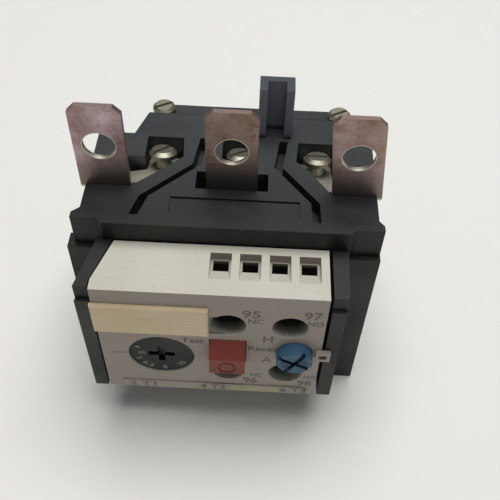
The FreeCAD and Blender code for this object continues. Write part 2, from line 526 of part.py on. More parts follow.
def make_dial():
    """Setting dial: disc with a cross recess, shaft, and the spiral cam at the shaft's inner end."""
    body = new_body("setting_dial")
    front = UNIT_FACE - G.DialSink
    pad(body, "XZ_Plane", f"{front} - Sizes.DialThick", "Sizes.DialThick", [(G.DialX, G.DialZ, G.DialRadius)])
    pad(body, "XZ_Plane", f"{front} - Sizes.DialThick", "Sizes.DialFlangeThick",
        [(G.DialX, G.DialZ, G.DialRadius + G.DialFlange)])
    back = G.ChassisFace - G.ChassisThick
    pad(body, "XZ_Plane", str(back), f"{front - back - 1}", [(G.DialX, G.DialZ, G.DialShaft)])
    steps = 24
    spiral = []
    for k in range(steps + 1):
        share = 2 * k / steps - 1
        turn = math.radians(G.CamSweep * share)
        radius = G.CamMean + G.CamRise * share * G.CamSweep / G.DialSweep
        spiral.append((G.DialX + radius * math.cos(turn), G.DialZ + radius * math.sin(turn)))
    pad(body, "XZ_Plane", "Sizes.MechFront - Sizes.CamThick", "Sizes.CamThick", [spiral])
    # cross recess for a screwdriver
    x, z, arm, wide = G.DialX, G.DialZ, G.DialSlot, G.DialSlotHalf
    cut(body, "XZ_Plane", str(front), "Sizes.DialRecess", [around(x, arm, z - wide, z + wide)])
    cut(body, "XZ_Plane", str(front), "Sizes.DialRecess", [around(x, wide, z - arm, z + arm)])
    return body


def make_test_button():
    body = new_body("test_button")
    x, half = G.TestX, G.TestWide / 2
    back = G.ButtonBack
    pad(body, "YZ_Plane", f"{x}", "Sizes.TestWide", [[
        (-UNIT_FACE, G.TestTop), (-UNIT_FACE - G.TestOut, G.TestTop - G.TestRamp),
        (-UNIT_FACE - G.TestOut, G.TestBottom), (-back, G.TestBottom), (-back, G.TestTop)]], both=True)
    ring = (x, G.TestBottom + 2.6)
    cut(body, "XZ_Plane", str(UNIT_FACE + G.TestOut), "0.25", [(*ring, 2.1), (*ring, 1.7)])
    pad(body, "XZ_Plane", str(back), "0.6", [around(x, half + 0.8, G.TestBottom + 1.6, G.TestTop - 1.6)])
    stem_x, stem_z = stem_place()
    pad(body, "XZ_Plane", "Sizes.StemEnd", f"{back - G.StemEnd + 0.2}", [(stem_x, stem_z, G.TestStem)])
    return body


def make_plunger():
    """Reset plunger: guided stem, spring collar and the spigot the knob turns on."""
    body = new_body("reset_plunger")
    profile = sketch(body, "XY_Plane", "0", [[
        (0, -G.StemEnd), (0, -INSIDE - 3.4), (G.ResetSpigot, -INSIDE - 3.4), (G.ResetSpigot, -INSIDE - 0.2),
        (G.ResetCollar, -INSIDE - 0.2), (G.ResetCollar, -G.ButtonBack), (G.ResetStem, -G.ButtonBack),
        (G.ResetStem, -G.StemEnd)]])
    turned = body.newObject("PartDesign::Revolution", "PlungerTurned")
    turned.Profile = profile
    turned.ReferenceAxis = (profile, ["V_Axis"])
    turned.Angle = 360.0
    body.Placement = Placement(Vector(G.ResetX, 0, G.ResetZ), Rotation())
    return body


def make_knob():
    body = new_body("reset_knob")
    face, back = UNIT_FACE + G.ResetOut, INSIDE + 0.4
    x, z, r = G.ResetX, G.ResetZ, G.ResetRadius
    pad(body, "XZ_Plane", str(back), str(face - back), [(x, z, r)])
    dress(body, "Chamfer", "0.35", lambda p: near(p.y, -face))
    cut(body, "XZ_Plane", str(back + 3.4), "4", [(x, z, G.ResetSpigot + G.RunFit)])
    for turn in (61, 151):
        c, n = math.cos(math.radians(turn)), math.sin(math.radians(turn))
        along, aside = (r + 1) * Vector(c, n), G.KnobSlotHalf * Vector(-n, c)
        corners = [Vector(x, z) + p for p in (aside - along, -along - aside, along - aside, along + aside)]
        cut(body, "XZ_Plane", str(face), "Sizes.KnobSlotDeep", [[(p.x, p.y) for p in corners]])
    return body


def make_spring(name, x, z, front, rear):
    """Return spring: a strip folded to and fro between the button's collar and the bridge."""
    body = new_body(name)
    folds, reach = int(G.SpringFolds), G.SpringReach
    step = (front - rear) / folds
    tall = G.SpringThick / 2 * math.hypot(2 * reach, step) / step
    path = [(-front + step * k, z + (reach if k % 2 else -reach)) for k in range(folds + 1)]
    upper = [(y, height + tall) for y, height in path]
    lower = [(y, height - tall) for y, height in path]
    pad(body, "YZ_Plane", str(x), "Sizes.SpringWide", [upper + lower[::-1]], both=True)
    return body


# ---------------------------------------------------------------- trip mechanism
def lever(name, x, z, low, high):
    """Upright lever on a pin, thicker round the pin."""
    body = new_body(name)
    front = G.MechFront
    half = G.LeverHalf
    pad(body, "XZ_Plane", str(front - G.LeverThick), "Sizes.LeverThick", [around(x, half, low, high)])
    pad(body, "XZ_Plane", str(front - G.LeverThick), "Sizes.LeverThick", [(x, z, half + 0.5)])
    cut(body, "XZ_Plane", str(front + 1), "Sizes.LeverThick + 2", [(x, z, G.PinRadius + G.RunFit)])
    return body


def make_pin(name, x, z):
    body = new_body(name)
    pad(body, "XZ_Plane", f"{G.ChassisFace - G.ChassisThick}", f"{G.PinEnd - G.ChassisFace + G.ChassisThick}",
        [(x, z, G.PinRadius)])
    return body


def leaf_places():
    return G.ContactLeft - G.ClosedLeaf, G.ContactRight + G.OpenLeaf


def make_carrier():
    """Bar that slides sideways and moves both contact leaves; slots open to the front take them."""
    body = new_body("contact_carrier")
    closed, opened = leaf_places()
    left, right = G.LeverX - G.LeverHalf - 0.65, opened + 0.5
    rear, front = G.CarrierRear, G.MechFront + 0.3
    pad(body, "XY_Plane", "Sizes.CarrierBottom", "Sizes.CarrierHigh", [[
        (left, -front), (right, -front), (right, -rear), (left + G.CarrierEase, -rear),
        (left, -rear - G.CarrierEaseDeep)]])
    slot = G.MechFront - G.LeverThick - 0.2
    leaf = G.LeafThick / 2 + 0.15
    for x, half in ((G.LeverX, G.LeverHalf + 0.2), (closed, leaf), (opened, leaf)):
        cut(body, "XY_Plane", "Sizes.CarrierBottom + Sizes.CarrierHigh", "Sizes.CarrierHigh",
            [around(x, half, -front - 1, -slot)])
    return body


def make_leaf(name, x, side):
    """Contact leaf with its rivet; the rivet faces the fixed contact."""
    body = new_body(name)
    rear = G.MechFront - G.LeverThick
    pad(body, "XY_Plane", "Sizes.LeafRoot", "Sizes.LeafTip - Sizes.LeafRoot",
        [around(x, G.LeafThick / 2, -G.MechFront, -rear)])
    edge = x + side * G.LeafThick / 2
    pad(body, "YZ_Plane", str(edge), "Sizes.RivetTall",
        [(-(G.MechFront + rear) / 2, G.ContactHigh, G.RivetRadius)], flip=side < 0)
    return body


def make_aux_terminal(x, z, side, leaf, upper):
    """Clamp plate of an auxiliary terminal with the arm that reaches the contact layer."""
    name = "AuxTerminal" + ("Upper" if upper else "Lower") + ("Left" if x < 5 else "Right")
    body = new_body(name)
    back = G.BlockFront - G.BlockThick
    half = G.BlockSide
    pad(body, "XZ_Plane", str(back), "Sizes.BlockThick", [around(x, half, z - half, z + half)])
    rear = G.MechFront - G.LeverThick
    layer = (G.MechFront + rear) / 2
    if upper:
        near_x, far_x = x + side * G.TongueNear, x + side * (G.TongueNear + G.TongueThick)
        pad(body, "XY_Plane", str(z - 1.4), "2.8", [box(*sorted((near_x, far_x)), -G.BlockFront, -rear)])
        pad(body, "YZ_Plane", str(far_x), "Sizes.TonguePad", [(-layer, z, G.RivetRadius)], flip=side < 0)
    else:
        end = leaf + side * G.LeafThick / 2 + side * 0.3
        pad(body, "XY_Plane", str(G.LeafRoot - 1.3), "1.2", [box(*sorted((x, end)), -G.BlockFront, -back)])
        tip = sorted((leaf - G.LeafThick / 2 - 0.3, leaf + G.LeafThick / 2 + 0.3))
        pad(body, "XY_Plane", str(G.LeafRoot - 1.3), "1.3", [box(*tip, -G.BlockFront, -rear)])
    cut(body, "XZ_Plane", str(G.BlockFront + 1), "Sizes.BlockThick + 2",
        [flat_sided(x, z, G.AuxScrewRadius + G.RunFit)])
    return body


def make_aux_terminals():
    closed, opened = leaf_places()
    bodies = [make_aux_terminal(x, z, side, leaf, z > 30)
              for (x, z), side, leaf in zip(CONTACTS, (-1, 1, -1, 1), (closed, opened, closed, opened))]
    return copies_of("aux_terminals", bodies)


def copies_of(name, bodies):
    doc.recompute()
    return group(name, [b.Shape.copy() for b in bodies])


# ---------------------------------------------------------------- trip slider
def make_slider():
    """Bar under the bimetal tips: a pair of pegs at each tip, and a finger out to the trip lever."""
    body = new_body("trip_slider")
    chamber = (G.PhasePitch - G.BarrierThick) / 2
    left, right = PHASES[0] - chamber + 0.45, PHASES[2] + chamber - 1.9
    half = G.SliderHalf
    pad(body, "XY_Plane", "Sizes.SliderBottom", "Sizes.SliderHigh", [box(left, right, -half, half)])
    top = "Sizes.SliderBottom + Sizes.SliderHigh - 0.2"
    strip = G.BimetalThick / 2
    pegs = []
    for phase in PHASES:
        pegs.append(box(phase + strip + G.SliderGap, phase + strip + G.SliderGap + 1.4, -half, half))
        pegs.append(box(phase - strip - G.SliderGap - 2.6, phase - strip - G.SliderGap - 1.2, -half, half))
    pad(body, "XY_Plane", top, "Sizes.SliderPeg + 0.2", pegs)
    finger = G.SliderBottom + G.SliderHigh - 1.7
    pad(body, "XY_Plane", str(finger), "Sizes.FingerHigh",
        [box(G.FingerLeft, G.FingerLeft + G.FingerWide, -G.FingerEnd, -half + 1)])
    return body


# ---------------------------------------------------------------- conductors
def foot_top(y):
    """Height of the upper face of a tab's foot at depth y."""
    return G.FootTop + (G.ScrewDepth - y) * TAN_SLOPE


def make_tab(name, k):
    """Line tab: upright blade with a round hole, bent at the deck into a foot that slopes to its screw."""
    body = new_body(f"TabBlank{k}")
    side = k - 1
    tab, well = TABS[k], WELLS[k]
    half, thick = G.TabWide / 2, G.TabThick
    front, rear = -G.TabFace, -G.TabFace + thick
    under = thick / math.cos(math.radians(G.FootSlope))
    end = G.FootEnd
    lean = math.tan(math.radians(G.TabLean)) * (G.TabTop - G.DeckTop) if side > 0 else 0
    reach = [tab - half - lean, tab + half, well - G.FootHalf, well + G.FootHalf]
    left, right = min(reach), max(reach)
    pad(body, "YZ_Plane", str(right), str(right - left), [[
        (front, foot_top(front) - under), (end, foot_top(end) - under), (end, foot_top(end)),
        (rear, foot_top(rear)), (rear, G.TabTop), (front, G.TabTop)]], flip=True)
    dress(body, "Fillet", "Sizes.TabBend", lambda p: near(p.y, front) and p.z < G.DeckTop)
    # blade outline
    cham = G.TabChamfer
    low, deck, top = 50, G.DeckTop - 0.5, G.TabTop
    wide = 60
    for edge, way in ((tab - half, -1), (tab + half, 1)):
        slant = lean * (top - cham - deck) / (top - G.DeckTop)
        cut(body, "XZ_Plane", f"{-front + 1}", "Sizes.TabThick + 2", [[
            (edge, low), (edge, deck), (edge - slant, top - cham), (edge - lean - way * cham, top),
            (edge - lean - way * cham, top + 1), (edge + way * wide, top + 1), (edge + way * wide, low)]])
    # foot outline behind the blade
    neck = rear + 0.9
    if side:
        inner, outer = tab - side * half, tab + side * half
        toe_in, toe_out = well - side * G.FootHalf, well + side * G.FootHalf
        cut(body, "XY_Plane", str(deck), "40", [[
            (inner, front - 1), (inner, neck - 0.9), (toe_in + side * 2.6, -1.0), (toe_in, 1.9),
            (toe_in, end + 1), (toe_in - side * wide, end + 1), (toe_in - side * wide, front - 1)]])
        cut(body, "XY_Plane", str(G.DeckTop + 1), "40", [[
            (outer + side * 0.2, neck), (outer - side * 1.2, neck + 1.6), (toe_out, 1.6), (toe_out, end + 1),
            (outer + side * 9, end + 1), (outer + side * 9, neck)]])
    else:
        for way in (-1, 1):
            toe = well + way * G.FootHalf
            cut(body, "XY_Plane", str(G.DeckTop + 1), "40", [[
                (tab + way * half, neck + 0.4), (toe, neck + 3.2), (toe, end + 1), (toe + way * 9, end + 1),
                (toe + way * 9, neck + 0.4)]])
    hole = tab - lean * (G.TabHoleHigh - G.DeckTop) / (G.TabTop - G.DeckTop)
    cut(body, "XZ_Plane", f"{-front + 1}", "Sizes.TabThick + 2", [(hole, G.TabHoleHigh, G.TabHole)])
    # screw hole square to the sloping foot
    doc.recompute()
    drill = Part.makeCylinder(G.WellScrewRadius + G.RunFit, 12, Vector(0, 0, -6))
    drill.Placement = well_place(k, 0)
    return group(name, [body.Shape.cut(drill)])


def well_place(k, lift, turn=0):
    """Placement on a well screw's tilted axis, `lift` above the foot."""
    tilt = Rotation(Vector(1, 0, 0), -G.FootSlope)
    base = Vector(WELLS[k], G.ScrewDepth, G.FootTop) + tilt.multVec(Vector(0, 0, lift))
    return Placement(base, tilt.multiply(Rotation(Vector(0, 0, 1), turn)))


def make_bracket(k):
    """Threaded block under a tab's foot with the leg that carries the bimetal."""
    body = new_body(f"Bracket{k}")
    well, phase = WELLS[k], PHASES[k]
    under = G.TabThick / math.cos(math.radians(G.FootSlope)) + G.SeatGap
    y0, y1 = G.ScrewDepth - G.BlockHalf, G.ScrewDepth + G.BlockHalf
    bottom = G.WellFloor - 3.9
    pad(body, "YZ_Plane", str(well), str(2 * G.BlockHalf), [[
        (y0, bottom), (y1, bottom), (y1, foot_top(y1) - under), (y0, foot_top(y0) - under)]], both=True)
    leg = phase - G.BimetalThick / 2
    pad(body, "XY_Plane", "Sizes.LegBottom", str(bottom + 0.9 - G.LegBottom),
        [box(leg - G.LegThick, leg, -G.LegHalf, G.LegHalf)])
    doc.recompute()
    drill = Part.makeCylinder(G.WellScrewRadius + G.RunFit, 20, Vector(0, 0, -12))
    drill.Placement = well_place(k, 0)
    return body.Shape.cut(drill)


def ribbed(x, y, z0, count, pitch, wall, rib, core):
    """Rectangular sleeve whose outside steps in and out once per turn of ribbon."""
    outer = Part.makeBox(2 * (x + wall), 2 * (y + wall), count * pitch, Vector(-x - wall, -y - wall, z0))
    for k in range(count):
        z = z0 + k * pitch
        outer = outer.fuse(Part.makeBox(2 * (x + wall + rib), 2 * (y + wall + rib), pitch * 0.62,
                                        Vector(-x - wall - rib, -y - wall - rib, z)))
    return outer.removeSplitter().cut(Part.makeBox(2 * x, 2 * y, 60, Vector(-x, -y, 0))) if core else outer


def make_heaters():
    """Bimetals, mica wraps and ribbon windings of the three phases."""
    strip, wide = G.BimetalThick / 2, G.LegHalf - 0.4
    gap, mica = G.SeatGap, G.MicaWall
    bimetals, wraps, windings = [], [], []
    for phase in PHASES:
        at = Vector(phase, 0, 0)
        bar = Part.makeBox(2 * strip, 2 * wide, G.BimetalTop - G.BimetalBottom,
                           Vector(-strip, -wide, G.BimetalBottom))
        bar.translate(at)
        bimetals.append(bar)
        hole = Part.makeBox(2 * (strip + gap), 2 * (wide + gap), 60, Vector(-strip - gap, -wide - gap, 0))
        wrap = Part.makeBox(2 * (strip + gap + mica), 2 * (wide + gap + mica), G.MicaHigh,
                            Vector(-strip - gap - mica, -wide - gap - mica, G.MicaBottom)).cut(hole)
        wrap.translate(at)
        wraps.append(wrap)
        coil = ribbed(strip + 2 * gap + mica, wide + 2 * gap + mica, G.WindingBottom, int(G.WindingTurns),
                      G.WindingPitch, G.WindingWall * 0.5, G.WindingWall * 0.4, True)
        coil.translate(at)
        windings.append(coil)
    return [group("bimetal_strips", bimetals), group("mica_wraps", wraps), group("heater_windings", windings)]


def make_load_terminal():
    """Bar of a load terminal: face plate, run into the housing, riser to the heater."""
    body = new_body("LoadTerminal")
    face, thick, run = G.LoadFace, G.LoadThick, G.LoadRun
    pad(body, "YZ_Plane", "0", "Sizes.LoadWide", [[
        (-face, G.LoadBottom), (-face + thick, G.LoadBottom), (-face + thick, run - thick),
        (G.LoadRise, run - thick), (G.LoadRise, G.LoadTop), (G.LoadRise - thick, G.LoadTop),
        (G.LoadRise - thick, run), (-face, run)]], both=True)
    for way in (-1, 1):
        cut(body, "XZ_Plane", "0", "10",
            [box(*sorted((way * G.RiserHalf, way * G.LoadWide)), G.CavityFloor + 1, G.LoadTop + 1)])
    cut(body, "XZ_Plane", str(face + 1), "Sizes.LoadThick + 2",
        [flat_sided(0, G.LoadScrewZ, G.LoadScrewRadius + G.RunFit)])
    return body


def make_clamp():
    """Clamp saddle: square washer with its side edges turned towards the bar."""
    body = new_body("LoadClamp")
    back = G.LoadFace + G.ClampGap
    half, low, high = G.ClampHalf, G.LoadScrewZ - G.ClampTall, G.LoadScrewZ + G.ClampTall
    pad(body, "XZ_Plane", str(back), "Sizes.ClampThick", [around(0, half, low, high)])
    for way in (-1, 1):
        pad(body, "XZ_Plane", str(back - G.ClampLip), "Sizes.ClampLip + Sizes.SeatGap",
            [box(*sorted((way * half, way * (half - G.ClampLip))), low, high)])
    cut(body, "XZ_Plane", str(back + 2), "4", [flat_sided(0, G.LoadScrewZ, G.LoadScrewRadius + G.RunFit)])
    return body


def finish_fasteners():
    """Screws, clamps and terminals that repeat, each kind one node of separate solids."""
    well, cover = screw_master("WellScrew", True), screw_master("CoverScrew", True)
    load, aux = screw_master("LoadScrew", False), screw_master("AuxScrew", False)
    bar, clamp = make_load_terminal(), make_clamp()
    forward = Rotation(Vector(1, 0, 0), 90)
    seat = G.LoadFace + G.ClampGap + G.ClampThick + G.SeatGap
    turns = (50, 40, 0)
    nodes = [copies("tab_screws", well, [well_place(k, G.WellScrewLift, turns[k]) for k in range(3)])]
    top = G.LugTop + G.EarThick + 2 * G.SeatGap
    nodes.append(copies("cover_screws", cover, [Placement(Vector(x, y, top), Rotation(Vector(0, 0, 1), 30))
                                                for x, y in rear_lugs()]))
    nodes.append(copies("load_terminals", bar, [Placement(Vector(x, 0, 0), Rotation()) for x in PHASES]))
    nodes.append(copies("load_clamps", clamp, [Placement(Vector(x, 0, 0), Rotation()) for x in PHASES]))
    nodes.append(copies("load_screws", load, [
        Placement(Vector(x, -seat, G.LoadScrewZ), forward) for x in PHASES]))
    nodes.append(copies("aux_screws", aux, [
        Placement(Vector(x, -G.BlockFront - G.SeatGap, z), forward) for x, z in CONTACTS]))
    return nodes


def make_all():
    stem_x, stem_z = stem_place()
    closed, opened = leaf_places()
    nodes = [make_housing(), make_back_cover(), make_front_module(), make_chassis(), make_label()]
    nodes += [make_strip(), make_eye(), make_dial(), make_test_button(), make_plunger(), make_knob()]
    rear = G.BridgeFront
    nodes.append(make_spring("test_spring", stem_x, stem_z + G.TestStem + 1.6, G.ButtonBack, rear))
    nodes.append(make_spring("reset_spring", G.ResetX, G.ResetZ + G.ResetStem + 1.6, G.ButtonBack, rear))
    nodes.append(lever("trip_lever", G.LeverX, G.LeverZ, G.LeverZ - G.LeverLow, G.LeverZ + G.LeverHigh))
    nodes.append(lever("compensation_lever", comp_x(), G.CompZ, G.CompLow, G.CompZ + G.LeverHalf))
    nodes.append(make_pin("trip_pin", G.LeverX, G.LeverZ))
    nodes.append(make_pin("compensation_pin", comp_x(), G.CompZ))
    nodes += [make_carrier(), make_leaf("nc_leaf", closed, 1), make_leaf("no_leaf", opened, -1)]
    nodes += [make_aux_terminals(), make_slider()]
    nodes += [make_tab("line_tab_" + word, k) for k, word in enumerate(("left", "centre", "right"))]
    nodes.append(group("bimetal_brackets", [make_bracket(k) for k in range(3)]))
    nodes += make_heaters()
    nodes += finish_fasteners()
    return nodes


def write_out(nodes):
    """Checks every object, then writes one STEP file per node."""
    doc.recompute()
    for item in doc.Objects:
        if "Invalid" in item.State or "Error" in item.State:
            raise SystemExit(f"{item.Name} did not build: {item.State}")
    for node in nodes:
        if node.Shape.isNull() or not node.Shape.isValid():
            raise SystemExit(f"{node.Label} has no valid shape")
    for node in nodes:
        node.Shape.exportStep(f"parts/{node.Label}.step")


NODES = make_all()
write_out(NODES)
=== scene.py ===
import bpy
import json
import math
from mathutils import Matrix, Vector


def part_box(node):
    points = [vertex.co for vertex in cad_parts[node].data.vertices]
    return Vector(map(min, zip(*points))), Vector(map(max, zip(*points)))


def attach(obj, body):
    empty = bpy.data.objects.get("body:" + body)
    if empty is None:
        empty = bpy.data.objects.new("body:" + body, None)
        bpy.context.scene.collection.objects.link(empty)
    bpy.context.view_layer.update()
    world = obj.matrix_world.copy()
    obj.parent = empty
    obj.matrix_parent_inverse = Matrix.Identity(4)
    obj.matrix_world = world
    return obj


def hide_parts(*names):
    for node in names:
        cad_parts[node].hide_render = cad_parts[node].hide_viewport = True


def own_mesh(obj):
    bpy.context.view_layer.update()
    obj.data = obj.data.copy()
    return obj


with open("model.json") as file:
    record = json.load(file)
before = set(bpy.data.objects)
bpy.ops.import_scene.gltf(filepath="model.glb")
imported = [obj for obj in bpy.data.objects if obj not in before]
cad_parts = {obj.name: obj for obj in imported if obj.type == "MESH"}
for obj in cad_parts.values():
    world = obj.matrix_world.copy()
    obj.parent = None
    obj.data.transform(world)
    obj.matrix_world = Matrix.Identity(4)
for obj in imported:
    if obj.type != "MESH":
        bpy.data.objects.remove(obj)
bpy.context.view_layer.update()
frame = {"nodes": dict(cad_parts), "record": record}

nodes = frame["nodes"]

# ---------------------------------------------------------------- housing, cheeks and hook post
# Black glass-filled moulding with a fine matt grain, dusty and a little scuffed on its upper faces.
# One piece with the two front cheeks and the hook post; the back cover is the same material.

DECK_TOP = 0.0598
PANEL_FRONT, PANEL_REAR = -0.0151, -0.0102


def srgb(r, g, b):
    """Linear colour from 8-bit values."""
    def linear(v):
        return ((v / 255 + 0.055) / 1.055) ** 2.4 if v > 10 else v / 255 / 12.92
    return linear(r), linear(g), linear(b), 1


def feed(tree, socket, value):
    """Links a socket to a node's output, or sets it to a plain number or colour."""
    if isinstance(value, (int, float, tuple)):
        socket.default_value = value
    else:
        tree.links.new(value, socket)


def new_group(name, inputs, outputs):
    """An empty shader group with float (F), colour (C) and vector (V) sockets."""
    kinds = {"F": "NodeSocketFloat", "C": "NodeSocketColor", "V": "NodeSocketVector"}
    group = bpy.data.node_groups.new(name, "ShaderNodeTree")
    for label, kind in inputs:
        group.interface.new_socket(label, in_out="INPUT", socket_type=kinds[kind])
    for label, kind in outputs:
        group.interface.new_socket(label, in_out="OUTPUT", socket_type=kinds[kind])
    given = group.nodes.new("NodeGroupInput").outputs
    out = group.nodes.new("NodeGroupOutput").inputs
    return group, given, out


def noise(tree, scale, detail, coords):
    made = tree.nodes.new("ShaderNodeTexNoise")
    made.inputs["Scale"].default_value = scale
    made.inputs["Detail"].default_value = detail
    tree.links.new(coords, made.inputs["Vector"])
    return made.outputs["Fac"]


def ramp(tree, source, low, high, out_low=0.0, out_high=1.0):
    """Runs from `out_low` to `out_high` as the source goes from `low` to `high`, and stays there."""
    made = tree.nodes.new("ShaderNodeMapRange")
    for label, value in (("Value", source), ("From Min", low), ("From Max", high),
                         ("To Min", out_low), ("To Max", out_high)):
        feed(tree, made.inputs[label], value)
    return made.outputs["Result"]


def maths(tree, operation, a, b=0.0):
    made = tree.nodes.new("ShaderNodeMath")
    made.operation = operation
    feed(tree, made.inputs[0], a)
    feed(tree, made.inputs[1], b)
    return made.outputs[0]


def times(tree, a, b):
    return maths(tree, "MULTIPLY", a, b)


def band(tree, source, low, high, soft):
    """Mask of what lies between two values, fading in over `soft` at both ends."""
    return times(tree, ramp(tree, source, low, low + soft), ramp(tree, source, high, high - soft))


def blend_colour(tree, factor, a, b):
    made = tree.nodes.new("ShaderNodeMix")
    made.data_type = "RGBA"
    for socket, value in ((made.inputs[0], factor), (made.inputs[6], a), (made.inputs[7], b)):
        feed(tree, socket, value)
    return made.outputs[2]


def axes(tree, source):
    """X, Y and Z of a vector."""
    made = tree.nodes.new("ShaderNodeSeparateXYZ")
    tree.links.new(source, made.inputs[0])
    return made.outputs


def object_place(tree):
    return tree.nodes.new("ShaderNodeTexCoord").outputs["Object"]


def facing(tree):
    """X, Y and Z of the direction that the surface faces."""
    return axes(tree, tree.nodes.new("ShaderNodeNewGeometry").outputs["Normal"])


def moulded_finish():
    """Group: a moulded surface's colour with blotches, dust on what faces up, specks and fine grain."""
    group, given, out = new_group(
        "moulded_finish", [("Colour", "C"), ("Worn", "C"), ("Dust", "F"), ("Grain", "F")],
        [("Colour", "C"), ("Roughness", "F"), ("Normal", "V")])
    place = object_place(group)
    blotch = ramp(group, noise(group, 60, 4, place), 0.35, 0.7)
    up = ramp(group, facing(group)[2], 0.2, 1.0)
    settled = times(group, up, given["Dust"])
    speck = times(group, settled, ramp(group, noise(group, 900, 2, place), 0.66, 0.74))
    colour = blend_colour(group, times(group, blotch, 0.35), given["Colour"], given["Worn"])
    colour = blend_colour(group, times(group, settled, blotch), colour, given["Worn"])
    colour = blend_colour(group, speck, colour, srgb(112, 111, 106))
    group.links.new(colour, out["Colour"])
    group.links.new(ramp(group, blotch, 0.0, 1.0, 0.42, 0.6), out["Roughness"])
    bump = group.nodes.new("ShaderNodeBump")
    bump.inputs["Distance"].default_value = 0.00005
    group.links.new(given["Grain"], bump.inputs["Strength"])
    group.links.new(noise(group, 2600, 2, place), bump.inputs["Height"])
    group.links.new(bump.outputs["Normal"], out["Normal"])
    return group


MOULDED = moulded_finish()


def finished(name, group, settings, metal=0.0, specular=0.5):
    """A material whose colour, roughness and normal come from a finish group."""
    made = bpy.data.materials.new(name)
    made.use_nodes = True
    tree = made.node_tree
    surface = tree.nodes["Principled BSDF"]
    finish = tree.nodes.new("ShaderNodeGroup")
    finish.node_tree = group
    for label, value in settings.items():
        finish.inputs[label].default_value = value
    surface.inputs["Metallic"].default_value = metal
    surface.inputs["Specular IOR Level"].default_value = specular
    tree.links.new(finish.outputs["Colour"], surface.inputs["Base Color"])
    tree.links.new(finish.outputs["Roughness"], surface.inputs["Roughness"])
    tree.links.new(finish.outputs["Normal"], surface.inputs["Normal"])
    return made


def plastic(name, colour, worn, dust, grain, specular=0.5):
    settings = {"Colour": colour, "Worn": worn, "Dust": dust, "Grain": grain}
    return finished(name, MOULDED, settings, specular=specular)


def recolour(material, mask, colour):
    """Lays another colour over a finished material where the mask is 1."""
    tree = material.node_tree
    socket = tree.nodes["Principled BSDF"].inputs["Base Color"]
    tree.links.new(blend_colour(tree, mask, socket.links[0].from_socket, colour), socket)


def dress(names, material, edge=0.0):
    """Puts a material on CAD nodes and breaks their sharp edges by `edge` millimetres."""
    for name in names:
        obj = nodes[name]
        obj.data.materials.clear()
        obj.data.materials.append(material)
        if edge:
            soft = obj.modifiers.new("broken_edges", "BEVEL")
            soft.width = edge / 1000
            soft.segments = 2
            soft.limit_method = "ANGLE"
            soft.angle_limit = math.radians(35)
            soft.harden_normals = True


def darker_deck_front(tree):
    """Mask of the deck's front half, which is coloured darker than its rear."""
    return ramp(tree, axes(tree, object_place(tree))[1], 0.008, -0.016, 0.0, 0.9)


def sunk_panel_shade(tree):
    """Mask of the shallow panel sunk in the deck's front, where shade is painted in as a darker colour."""
    _, y, z = axes(tree, object_place(tree))
    above = ramp(tree, z, DECK_TOP - 0.0008, DECK_TOP - 0.0006)
    below = ramp(tree, z, DECK_TOP - 0.0003, DECK_TOP - 0.0004, 0.0, 0.8)
    return times(tree, band(tree, y, PANEL_FRONT, PANEL_REAR, 0.0001), times(tree, above, below))


def greyed_post(tree):
    """Mask of the hook post, which has greyed more than the deck below it."""
    return ramp(tree, axes(tree, object_place(tree))[2], DECK_TOP + 0.0004, DECK_TOP + 0.0017)


def post_front_reflection(tree):
    """Mask of the hook post's faces that look forward, where a painted bluish reflection makes them
    lighter.
    """
    return times(tree, greyed_post(tree), ramp(tree, facing(tree)[1], -0.4, -0.9))


BLACK = plastic("black_moulding", srgb(44, 48, 51), srgb(60, 64, 67), dust=0.2, grain=0.7, specular=0.4)
# The deck's front half is coloured darker than its rear.
recolour(BLACK, darker_deck_front(BLACK.node_tree), srgb(13, 14, 15))
# Painted shade in the sunk panel.
recolour(BLACK, sunk_panel_shade(BLACK.node_tree), srgb(21, 22, 23))
recolour(BLACK, greyed_post(BLACK.node_tree), srgb(68, 72, 78))
# Painted bluish reflection on the hook post's forward faces.
recolour(BLACK, post_front_reflection(BLACK.node_tree), srgb(126, 132, 144))
dress(["housing", "back_cover"], BLACK, 0.3)

# ---------------------------------------------------------------- grey front unit
# Light grey moulded cover of the trip mechanism, snapped between the cheeks and slightly yellowed.
# The chassis behind it and the levers inside are a darker grey; its strip and sealing eye are trim.

UNIT_LOW, UNIT_HIGH = (Vector(corner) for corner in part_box("front_module"))
FACE = UNIT_LOW.y
INNER_LEFT, INNER_RIGHT = -0.0240, 0.0206
FLAT_LOW, FLAT_HIGH = 0.0388, 0.0475


def unlit_inside(tree):
    """Mask that grows with the depth behind the cover's outer faces, where its holes are unlit inside."""
    x, y, z = axes(tree, object_place(tree))
    above = ramp(tree, z, UNIT_LOW.z + 0.0019, UNIT_LOW.z + 0.0027)
    below = ramp(tree, z, UNIT_HIGH.z - 0.0022, UNIT_HIGH.z - 0.0036)
    inside = times(tree, band(tree, x, INNER_LEFT, INNER_RIGHT, 0.0008), times(tree, above, below))
    return times(tree, inside, ramp(tree, y, FACE + 0.0002, FACE + 0.0038, 0.0, 0.93))


def shaded_front(tree):
    """Mask of the faces that look forward, with painted shade that makes them darker and a little browner
    than the top.
    """
    return ramp(tree, facing(tree)[1], -0.4, -0.95)


def shallow_flat_shade(tree):
    """Mask of the shallow flat beside the first driver hole, where shade is painted in as a darker colour.
    """
    x, y, z = axes(tree, object_place(tree))
    across = times(tree, ramp(tree, x, 0.0002, -0.0002), band(tree, z, FLAT_LOW, FLAT_HIGH, 0.0004))
    front = ramp(tree, y, FACE, FACE + 0.0003, 0.0, 0.45)
    rear = ramp(tree, y, FACE + 0.0008, FACE + 0.0005)
    return times(tree, across, times(tree, front, rear))


